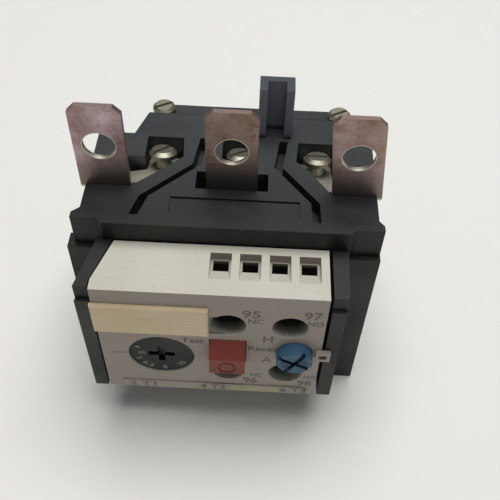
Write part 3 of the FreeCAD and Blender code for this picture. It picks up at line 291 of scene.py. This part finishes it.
GREY = plastic(
    "grey_moulding", srgb(197, 197, 185), srgb(184, 180, 166), dust=0.25, grain=0.35, specular=0.3)
recolour(GREY, shaded_front(GREY.node_tree), srgb(166, 156, 146))
# Painted shade in the shallow flat.
recolour(GREY, shallow_flat_shade(GREY.node_tree), srgb(70, 64, 60))
recolour(GREY, unlit_inside(GREY.node_tree), srgb(22, 22, 25))
DARK_GREY = plastic(
    "dark_grey_moulding", srgb(70, 70, 68), srgb(60, 59, 56), dust=0.1, grain=0.35, specular=0.3)
TRIM = plastic(
    "trim_moulding", srgb(172, 164, 153), srgb(160, 150, 138), dust=0.2, grain=0.35, specular=0.3)
dress(["front_module"], GREY, 0.8)
dress(["marking_strip", "seal_eye"], TRIM, 0.1)
dress(["module_chassis", "reset_plunger", "trip_lever", "contact_carrier", "trip_slider"], DARK_GREY, 0.1)

# ---------------------------------------------------------------- label plate
# Blank beige plate of thin moulded sheet, clipped on the front unit's upper left corner.
# It has yellowed, and wiping has left faint streaks along it.


def wiped(tree, amount):
    """Mask of the faint streaks that wiping has left from side to side."""
    stretch = tree.nodes.new("ShaderNodeMapping")
    stretch.inputs["Scale"].default_value = (90, 90, 1500)
    tree.links.new(object_place(tree), stretch.inputs["Vector"])
    return ramp(tree, noise(tree, 1, 3, stretch.outputs["Vector"]), 0.42, 0.66, 0.0, amount)


BEIGE = plastic("beige_plate", srgb(228, 208, 172), srgb(214, 188, 146), dust=0.2, grain=0.25)
recolour(BEIGE, wiped(BEIGE.node_tree, 0.2), srgb(196, 168, 128))
dress(["label_plate"], BEIGE, 0.25)

# ---------------------------------------------------------------- setting dial
# Black moulded dial with a cross recess for a screwdriver, turned in one piece with its cam shaft.
# It sits just behind the grey face and shows through a round opening.

DIAL = plastic("dial_moulding", srgb(13, 14, 16), srgb(28, 28, 30), dust=0.15, grain=0.3, specular=0.35)
dress(["setting_dial"], DIAL, 0.12)

# ---------------------------------------------------------------- buttons
# Red test button and blue reset knob, both moulded in a smoother plastic than the housing.
# Painted shade darkens the knob's crossed slots and two wedges between their arms.

KNOB_LOW, KNOB_HIGH = (Vector(corner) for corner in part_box("reset_knob"))
KNOB = (KNOB_LOW + KNOB_HIGH) / 2
SLOT_LEAN = math.radians(16)


def near_axis(tree, x, z, inner, outer):
    """Mask that falls from 1 to 0 between two distances from an axis running front to back at (x, z)."""
    place = axes(tree, object_place(tree))
    flat = tree.nodes.new("ShaderNodeCombineXYZ")
    tree.links.new(place[0], flat.inputs[0])
    tree.links.new(place[2], flat.inputs[2])
    axis = tree.nodes.new("ShaderNodeCombineXYZ")
    feed(tree, axis.inputs[0], x)
    feed(tree, axis.inputs[2], z)
    apart = tree.nodes.new("ShaderNodeVectorMath")
    apart.operation = "DISTANCE"
    tree.links.new(flat.outputs[0], apart.inputs[0])
    tree.links.new(axis.outputs[0], apart.inputs[1])
    return ramp(tree, apart.outputs["Value"], outer, inner)


def slot_shade(tree):
    """Mask of the crossed slots sunk in the knob's face, where shade is painted in as a darker blue."""
    sunk = ramp(tree, axes(tree, object_place(tree))[1], KNOB_LOW.y + 0.0002, KNOB_LOW.y + 0.0005)
    return times(tree, sunk, near_axis(tree, KNOB.x, KNOB.z, 0.0037, 0.0040))


def bow_tie_shade(tree):
    """Mask of painted shade between the slots' arms, left and right of the knob's centre."""
    offset = tree.nodes.new("ShaderNodeVectorMath")
    offset.operation = "SUBTRACT"
    offset.inputs[1].default_value = (KNOB.x, 0, KNOB.z)
    tree.links.new(object_place(tree), offset.inputs[0])
    slant, rise = math.cos(SLOT_LEAN), math.sin(SLOT_LEAN)
    reach = []
    for along in ((slant, 0, rise), (-rise, 0, slant)):
        dot = tree.nodes.new("ShaderNodeVectorMath")
        dot.operation = "DOT_PRODUCT"
        dot.inputs[1].default_value = along
        tree.links.new(offset.outputs[0], dot.inputs[0])
        reach.append(maths(tree, "ABSOLUTE", dot.outputs["Value"]))
    margin = maths(tree, "SUBTRACT", reach[1], times(tree, reach[0], 0.75))
    wedge = ramp(tree, margin, 0.0004, 0.0, 0.0, 0.75)
    return times(tree, wedge, near_axis(tree, KNOB.x, KNOB.z, 0.0028, 0.0034))


RED = plastic("red_moulding", srgb(138, 64, 56), srgb(118, 56, 50), dust=0.15, grain=0.2, specular=0.35)
BLUE = plastic("blue_moulding", srgb(62, 104, 132), srgb(54, 86, 108), dust=0.15, grain=0.2, specular=0.35)
# Painted shade between the slots' arms and in the crossed slots.
recolour(BLUE, bow_tie_shade(BLUE.node_tree), srgb(22, 50, 80))
recolour(BLUE, slot_shade(BLUE.node_tree), srgb(24, 50, 76))
dress(["test_button"], RED, 0.3)
dress(["reset_knob"], BLUE, 0.2)

# ---------------------------------------------------------------- tabs, terminals and screws
# Tinned copper line tabs, handled and tarnished brown by heat, each bolted down by its own screw.
# The screws, clamps and brackets are zinc plated; the bimetals and contact leaves are rolled strip.


def bolt_pair(name):
    """Left x, right x and height of the two holes of a bolt-pattern mount."""
    mount = next(entry for entry in frame["record"]["mounts"] if entry["name"] == name)
    middle, half = mount["pos_m"][0], mount["dims"]["spacing_x_mm"] / 2000
    return middle - half, middle + half, mount["pos_m"][2]


HOLE_LEFT, HOLE_RIGHT, HOLE_HIGH = bolt_pair("line_tabs_outer")
HOLE_CENTRE = bolt_pair("line_tabs_left_centre")[1]


def metal_finish():
    """Group: rolled or plated metal with a tarnish that gathers in blotches and a fine brushed grain."""
    group, given, out = new_group(
        "metal_finish", [("Colour", "C"), ("Tarnish", "C"), ("Amount", "F"), ("Rough", "F")],
        [("Colour", "C"), ("Roughness", "F"), ("Normal", "V")])
    place = object_place(group)
    cloud = ramp(group, noise(group, 120, 6, place), 0.3, 0.65)
    spots = times(group, ramp(group, noise(group, 1300, 2, place), 0.56, 0.66), 0.25)
    colour = blend_colour(group, times(group, cloud, given["Amount"]), given["Colour"], given["Tarnish"])
    colour = blend_colour(group, times(group, spots, given["Amount"]), colour, srgb(92, 66, 50))
    stretch = group.nodes.new("ShaderNodeMapping")
    stretch.inputs["Scale"].default_value = (400, 4000, 4000)
    group.links.new(place, stretch.inputs["Vector"])
    bump = group.nodes.new("ShaderNodeBump")
    bump.inputs["Strength"].default_value = 0.25
    bump.inputs["Distance"].default_value = 0.00003
    group.links.new(noise(group, 1, 2, stretch.outputs["Vector"]), bump.inputs["Height"])
    rough = maths(group, "ADD", given["Rough"], ramp(group, cloud, 0.0, 1.0, 0.0, 0.12))
    group.links.new(colour, out["Colour"])
    group.links.new(rough, out["Roughness"])
    group.links.new(bump.outputs["Normal"], out["Normal"])
    return group


def tab_wear():
    """Group: masks of a tab's rusty freckles, painted shade on its lower end, browned cut edges, bare tin
    on its foot, and painted highlights on its bevelled edges and the front of its hole's rim.
    """
    group, given, out = new_group(
        "tab_wear", [("Hole", "F"), ("Freckles", "F"), ("Dark Below", "F"), ("Clean Above", "F")],
        [("Rust", "F"), ("Soot", "F"), ("Cut", "F"), ("Bare", "F")])
    place = object_place(group)
    _, y, z = axes(group, place)
    front = facing(group)[1]
    square = times(group, front, front)
    freckle = times(group, ramp(group, noise(group, 900, 4, place), 0.46, 0.6),
                    ramp(group, noise(group, 150, 2, place), 0.42, 0.62))
    corner = times(group, ramp(group, square, 0.99, 0.93), ramp(group, square, 0.1, 0.35))
    rim = times(group, near_axis(group, given["Hole"], HOLE_HIGH, 0.0037, 0.0038),
                ramp(group, y, -0.0067, -0.0070, 0.25, 1.0))
    foot = ramp(group, y, -0.0060, -0.0052)
    group.links.new(times(group, freckle, given["Freckles"]), out["Rust"])
    group.links.new(ramp(group, z, given["Clean Above"], given["Dark Below"], 0.0, 0.85), out["Soot"])
    group.links.new(ramp(group, square, 0.3, 0.1, 0.0, 0.8), out["Cut"])
    group.links.new(maths(group, "MAXIMUM", maths(group, "MAXIMUM", corner, rim), foot), out["Bare"])
    return group


METAL = metal_finish()
TAB_WEAR_AND_SHADING = tab_wear()


def metal(name, colour, tarnish, amount, rough):
    settings = {"Colour": colour, "Tarnish": tarnish, "Amount": amount, "Rough": rough}
    return finished(name, METAL, settings, metal=1.0)


def tab_material(name, wear_and_shading, tin, stain, low_shade):
    """Tinned copper; the second argument gives the hole's x, the freckles, and the heights where the
    painted shade on the lower end is full and where it is gone.
    """
    made = metal(name, tin, stain, 0.9, 0.42)
    worn = made.node_tree.nodes.new("ShaderNodeGroup")
    worn.node_tree = TAB_WEAR_AND_SHADING
    for socket, value in zip(worn.inputs, wear_and_shading):
        socket.default_value = value
    recolour(made, worn.outputs["Rust"], srgb(128, 88, 60))
    # Painted shade on the tab's lower end.
    recolour(made, worn.outputs["Soot"], low_shade)
    recolour(made, worn.outputs["Cut"], srgb(148, 130, 122))
    # Bare tin on the foot, and painted highlights on the bevelled edges and the front of the hole's rim.
    recolour(made, worn.outputs["Bare"], srgb(222, 220, 204))
    return made


# Each tab: hole x, freckles and the heights of its painted lower shade; then tin, tarnish and painted
# shade colours.
for word, wear_and_shading, tin, stain, low_shade in (
        ("left", (HOLE_LEFT, 0.3, 0.0600, 0.0690),
         srgb(198, 178, 184), srgb(150, 122, 116), srgb(150, 142, 126)),
        ("centre", (HOLE_CENTRE, 0.7, 0.0648, 0.0668),
         srgb(168, 148, 142), srgb(124, 102, 90), srgb(116, 114, 110)),
        ("right", (HOLE_RIGHT, 0.45, 0.0600, 0.0690),
         srgb(194, 172, 170), srgb(146, 118, 108), srgb(148, 142, 134))):
    dress(["line_tab_" + word], tab_material("tab_" + word, wear_and_shading, tin, stain, low_shade), 0.3)

TINNED = metal("tinned_copper", srgb(176, 160, 150), srgb(138, 108, 92), 0.8, 0.32)
ZINC = metal("zinc_plate", srgb(172, 171, 157), srgb(134, 131, 115), 0.7, 0.44)
STRIP = metal("rolled_strip", srgb(170, 168, 164), srgb(120, 112, 100), 0.5, 0.35)
BRASS = metal("brass_strip", srgb(168, 142, 92), srgb(120, 94, 56), 0.7, 0.42)
MICA = plastic("mica", srgb(165, 143, 99), srgb(130, 105, 60), dust=0.2, grain=0.6)
dress(["load_terminals"], TINNED, 0.12)
dress(["tab_screws", "cover_screws", "load_screws", "aux_screws", "load_clamps", "bimetal_brackets",
       "trip_pin", "compensation_pin"], ZINC, 0.08)
dress(["bimetal_strips", "heater_windings", "compensation_lever"], STRIP)
dress(["nc_leaf", "no_leaf", "aux_terminals"], BRASS)
dress(["mica_wraps"], MICA)

# ---------------------------------------------------------------- return springs
# Two small coils of round steel wire, behind the test button and the reset knob.
# Each is held between the button's collar and the bridge, and is fixed to the case.

WIRE = 0.00015
TURNS = 4.5
STEPS_A_TURN = 18
WIRE_SIDES = 8


def coil(name):
    """A wire coil in the space of a CAD spring, from its front end to its rear end."""
    low, high = (Vector(corner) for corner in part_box(name))
    centre = (low + high) / 2
    radius = min(high.x - low.x, high.z - low.z) / 2 - WIRE
    front, rear = low.y + WIRE, high.y - WIRE
    steps = int(TURNS * STEPS_A_TURN)
    points, faces = [], []
    for k in range(steps + 1):
        angle = 2 * math.pi * k / STEPS_A_TURN
        outward = Vector((math.cos(angle), 0, math.sin(angle)))
        middle = Vector((centre.x, front + (rear - front) * k / steps, centre.z))
        for side in range(WIRE_SIDES):
            lean = 2 * math.pi * side / WIRE_SIDES
            across = outward * (radius + WIRE * math.cos(lean))
            points.append(middle + across + Vector((0, WIRE * math.sin(lean), 0)))
            if k < steps:
                a, b = k * WIRE_SIDES + side, k * WIRE_SIDES + (side + 1) % WIRE_SIDES
                faces.append((a, b, b + WIRE_SIDES, a + WIRE_SIDES))
    faces.append(tuple(reversed(range(WIRE_SIDES))))
    faces.append(tuple(range(steps * WIRE_SIDES, (steps + 1) * WIRE_SIDES)))
    mesh = bpy.data.meshes.new(name + "_coil")
    mesh.from_pydata(points, [], faces)
    mesh.polygons.foreach_set("use_smooth", [True] * len(faces))
    mesh.materials.append(STRIP)
    obj = bpy.data.objects.new(name + "_coil", mesh)
    bpy.context.scene.collection.objects.link(obj)
    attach(obj, "case")
    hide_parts(name)
    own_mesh(obj)


coil("test_spring")
coil("reset_spring")

# ---------------------------------------------------------------- printed marks
# Thin dark print on the grey face: terminal numbers, contact kinds, button names and the dial's index.
# On the dial the figures are pale and stand round the rim.

PRINT_LIFT = 0.00002
STRIP_FACE = FACE - 0.0003
DIAL_FACE = FACE + 0.0004
DIAL_X, DIAL_Z, FIGURE_RADIUS = -14.8, 29.5, 6.1


def ink_wear():
    """Group: print that has worn slightly thin in places."""
    group, given, out = new_group("ink_wear", [("Colour", "C")], [("Colour", "C")])
    thin = ramp(group, noise(group, 1500, 2, object_place(group)), 0.3, 0.7, 0.0, 0.4)
    group.links.new(blend_colour(group, thin, given["Colour"], (0.3, 0.3, 0.3, 1)), out["Colour"])
    return group


INK_WEAR = ink_wear()


def ink(name, colour):
    made = bpy.data.materials.new(name)
    made.use_nodes = True
    tree = made.node_tree
    worn = tree.nodes.new("ShaderNodeGroup")
    worn.node_tree = INK_WEAR
    worn.inputs["Colour"].default_value = colour
    tree.links.new(worn.outputs["Colour"], tree.nodes["Principled BSDF"].inputs["Base Color"])
    tree.nodes["Principled BSDF"].inputs["Roughness"].default_value = 0.6
    return made


DARK_INK = ink("dark_ink", srgb(98, 87, 81))
TAG_INK = ink("tag_ink", srgb(176, 176, 132))
PALE_INK = ink("pale_ink", srgb(122, 119, 114))
GREY_INK = ink("grey_ink", srgb(66, 62, 62))


def mark(name, data, colour):
    """A new printed piece of one colour."""
    obj = bpy.data.objects.new(name, data)
    bpy.context.scene.collection.objects.link(obj)
    data.materials.append(colour)
    return obj


def printed(name, words, x, z, tall, wide, y=FACE, turn=0.0, colour=DARK_INK, body="case"):
    """Words printed on a face towards -Y, fitted to a box `wide` by `tall` millimetres round (x, z)."""
    curve = bpy.data.curves.new(name, "FONT")
    curve.body = words
    curve.align_x = "CENTER"
    curve.align_y = "CENTER"
    curve.size = tall * 1.4 / 1000
    curve.offset = 0.00007
    curve.resolution_u = 3
    obj = mark(name, curve, colour)
    bpy.context.view_layer.update()
    stretch = wide / 1000 / obj.dimensions.x
    place = Matrix.Translation((x / 1000, y - PRINT_LIFT, z / 1000))
    stand = Matrix.Rotation(math.radians(-turn), 4, "Y") @ Matrix.Rotation(math.radians(90), 4, "X")
    obj.matrix_world = place @ stand @ Matrix.Diagonal((stretch, 1, 1, 1))
    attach(obj, body)


def bar(name, x0, x1, z0, z1, y=FACE, colour=DARK_INK, body="case"):
    """A printed bar on a face towards -Y, given in millimetres."""
    mesh = bpy.data.meshes.new(name)
    corners = [(x0, z0), (x1, z0), (x1, z1), (x0, z1)]
    mesh.from_pydata([(x / 1000, y - PRINT_LIFT, z / 1000) for x, z in corners], [], [(0, 1, 2, 3)])
    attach(mark(name, mesh, colour), body)


for words, x, z, tall, wide in (
        ("95", 5.9, 47.9, 2.7, 4.1), ("NC", 6.9, 45.3, 1.7, 3.5),
        ("97", 19.2, 48.3, 2.7, 4.0), ("NO", 20.0, 45.3, 1.7, 3.6),
        ("H", 9.9, 38.3, 2.6, 2.3), ("A", 10.0, 29.6, 2.6, 2.4),
        ("Reset", 8.7, 34.3, 2.0, 6.6), ("Test", -7.3, 36.4, 2.0, 5.0),
        ("96", 6.3, 19.6, 2.4, 3.5), ("98", 19.6, 19.4, 2.4, 3.4),
        ("NC", 7.6, 22.3, 1.5, 2.8), ("NO", 20.6, 22.4, 1.5, 2.8)):
    printed(f"print_{words}_{x:.0f}_{z:.0f}", words, x, z, tall, wide)
for words, x in (("2 T1", -19.9), ("4 T2", -2.8), ("6 T3", 17.2)):
    printed("print_" + words.replace(" ", ""), words, x, 16.1, 2.0, 6.6, y=STRIP_FACE)
bar("print_index", -26.5, -22.9, 29.8, 30.05, colour=GREY_INK)
bar("print_tag", 1.6, 13.4, 14.9, 17.2, y=STRIP_FACE, colour=TAG_INK)
bar("print_dial_mark", -20.3, -18.6, 28.8, 30.3, y=DIAL_FACE, colour=GREY_INK, body="dial")
for figure, turn in (("4", 155), ("5", 203), ("6.3", 235), ("8", 275), ("10", 318)):
    across = FIGURE_RADIUS * math.cos(math.radians(turn))
    above = FIGURE_RADIUS * math.sin(math.radians(turn))
    printed("print_dial" + figure.replace(".", "_"), figure, DIAL_X + across, DIAL_Z + above, 1.5,
            0.95 * len(figure), y=DIAL_FACE, turn=turn + 90, colour=PALE_INK, body="dial")

# ---------------------------------------------------------------- floor, light and camera
# Pale matt table, a broad soft light above and behind, and a faint fill from the front.
# The camera stands in front of the relay and looks down on it.

floor_mesh = bpy.data.meshes.new("floor")
floor_mesh.from_pydata([(-3, -3, 0), (3, -3, 0), (3, 3, 0), (-3, 3, 0)], [], [(0, 1, 2, 3)])
floor = bpy.data.objects.new("floor", floor_mesh)
bpy.context.scene.collection.objects.link(floor)
pale = bpy.data.materials.new("pale_table")
pale.use_nodes = True
pale.node_tree.nodes["Principled BSDF"].inputs["Base Color"].default_value = (0.86, 0.865, 0.835, 1)
pale.node_tree.nodes["Principled BSDF"].inputs["Roughness"].default_value = 0.9
floor_mesh.materials.append(pale)


def area_light(name, place, aim, width, power, colour):
    data = bpy.data.lights.new(name, "AREA")
    data.size = width
    data.energy = power
    data.color = colour
    lamp = bpy.data.objects.new(name, data)
    lamp.location = place
    lamp.rotation_euler = (Vector(aim) - Vector(place)).to_track_quat("-Z", "Y").to_euler()
    bpy.context.scene.collection.objects.link(lamp)


area_light("overhead", (0.05, 0.12, 0.95), (0.02, 0.04, 0.03), 0.7, 9.0, (1.0, 0.985, 0.965))
area_light("front_fill", (0.1, -0.9, 0.7), (0, 0, 0.03), 0.8, 0.35, (1.0, 0.88, 0.84))

world = bpy.data.worlds.new("room")
world.use_nodes = True
world.node_tree.nodes["Background"].inputs["Color"].default_value = (0.9, 0.92, 1.0, 1)
world.node_tree.nodes["Background"].inputs["Strength"].default_value = 0.12
bpy.context.scene.world = world
bpy.context.scene.view_settings.view_transform = "Standard"

PITCH, YAW, ROLL = (math.radians(v) for v in (50.43, -0.480, 2.404))
EYE = (0.00571, -0.12106, 0.17637)
look = Vector((math.sin(YAW) * math.cos(PITCH), math.cos(YAW) * math.cos(PITCH), -math.sin(PITCH)))
level = Vector((math.cos(YAW), -math.sin(YAW), 0))
upright = level.cross(look)
right = math.cos(ROLL) * level + math.sin(ROLL) * upright
up = math.cos(ROLL) * upright - math.sin(ROLL) * level
lens = bpy.data.cameras.new("camera")
lens.lens = 51.84
lens.sensor_width = 36
camera = bpy.data.objects.new("camera", lens)
camera.matrix_world = Matrix.Translation(EYE) @ Matrix((right, up, -look)).transposed().to_4x4()
bpy.context.scene.collection.objects.link(camera)
bpy.context.scene.camera = camera
